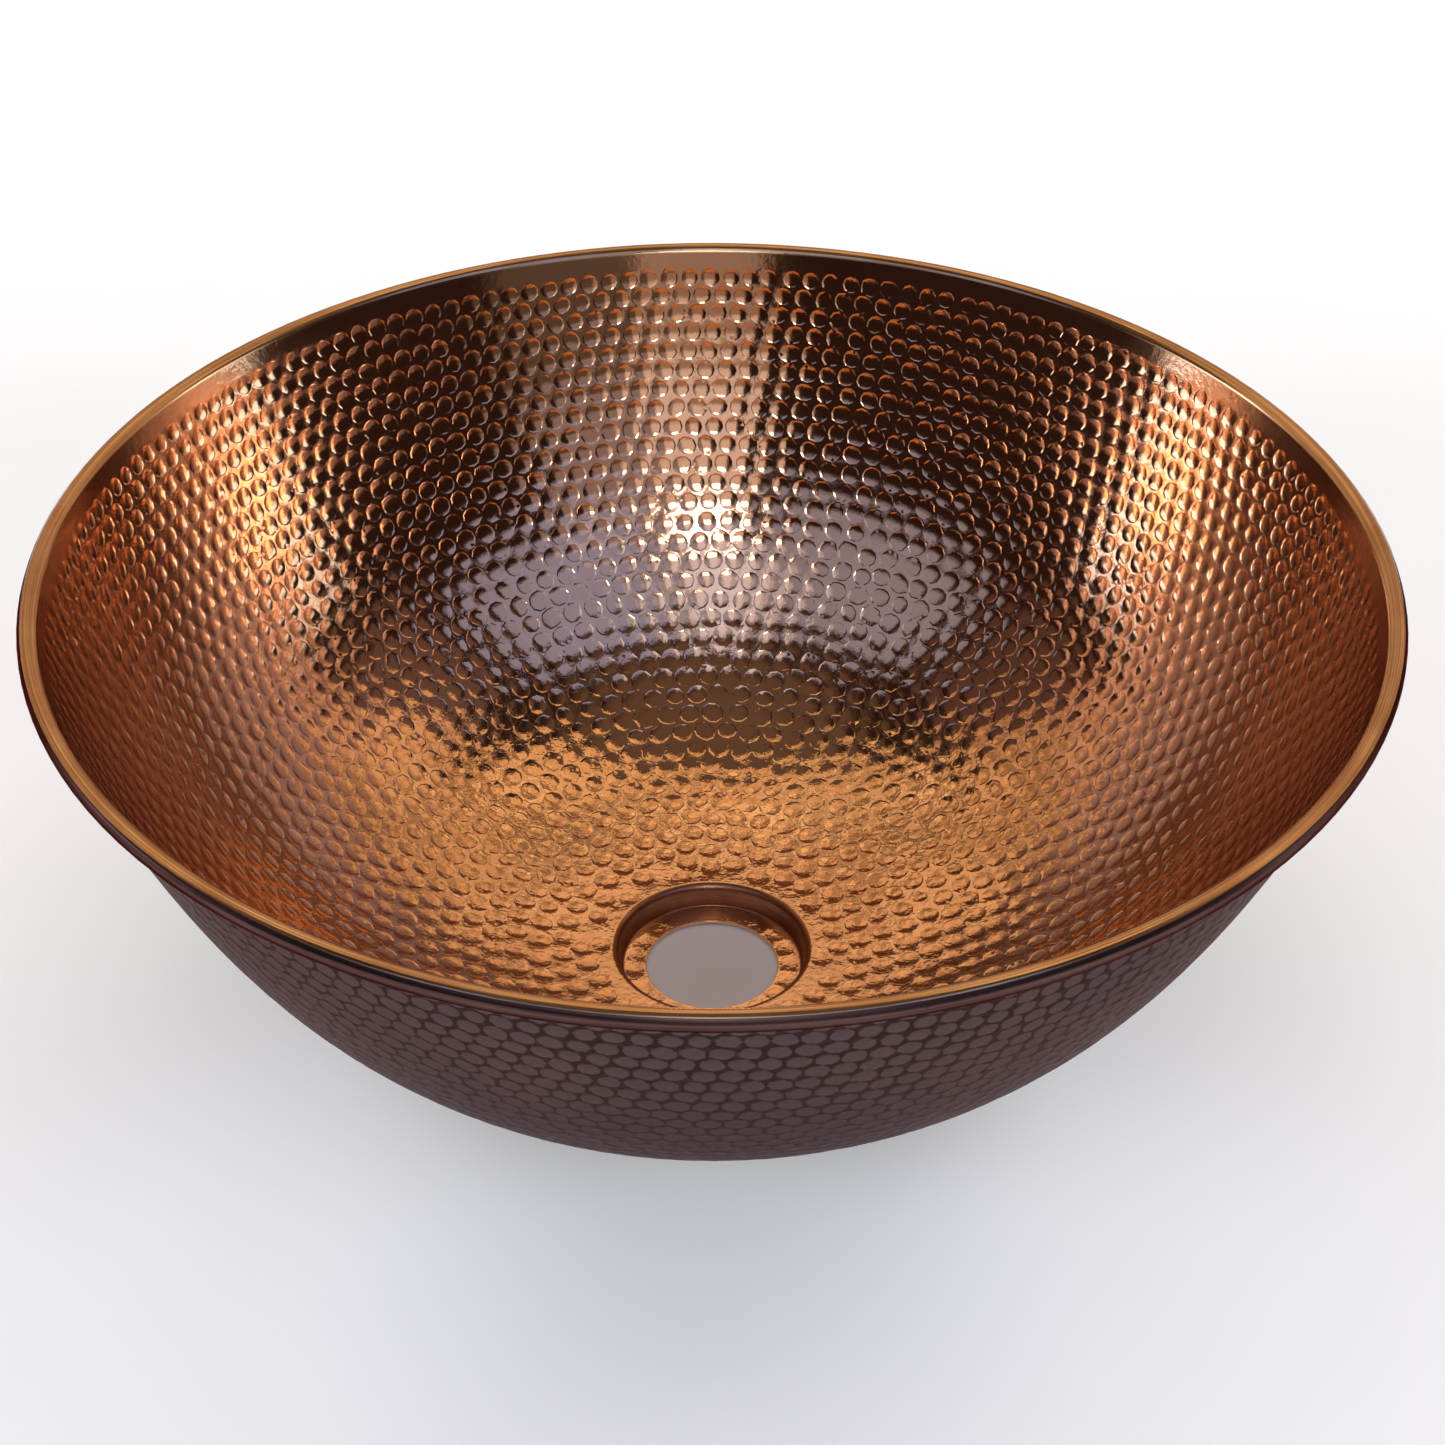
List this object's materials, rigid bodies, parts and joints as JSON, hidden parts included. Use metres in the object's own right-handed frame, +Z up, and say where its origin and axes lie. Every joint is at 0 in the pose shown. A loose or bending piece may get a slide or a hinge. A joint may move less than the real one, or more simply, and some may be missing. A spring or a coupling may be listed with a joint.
{
  "type": "vessel sink bowl",
  "caption": "Round hand-hammered copper basin with a rolled, wired rim and a stepped recess round an open drain hole.",
  "frame": {"origin": "centre of the drain hole, level with the flat underside of the flange ring that the bowl stands on", "axes": "+Z up along the bowl's axis of revolution, out of its mouth; X and Y are free"},
  "size_m": [0.419, 0.419, 0.165],
  "materials": {
    "hammered_copper": "hand-hammered copper, polished inside, dark brown satin patina outside",
    "copper_wire": "drawn copper wire, unpolished"
  },
  "bodies": {
    "root": {"bowl_shell": "hammered_copper", "rim_wire": "copper_wire"}
  },
  "joints": []
}
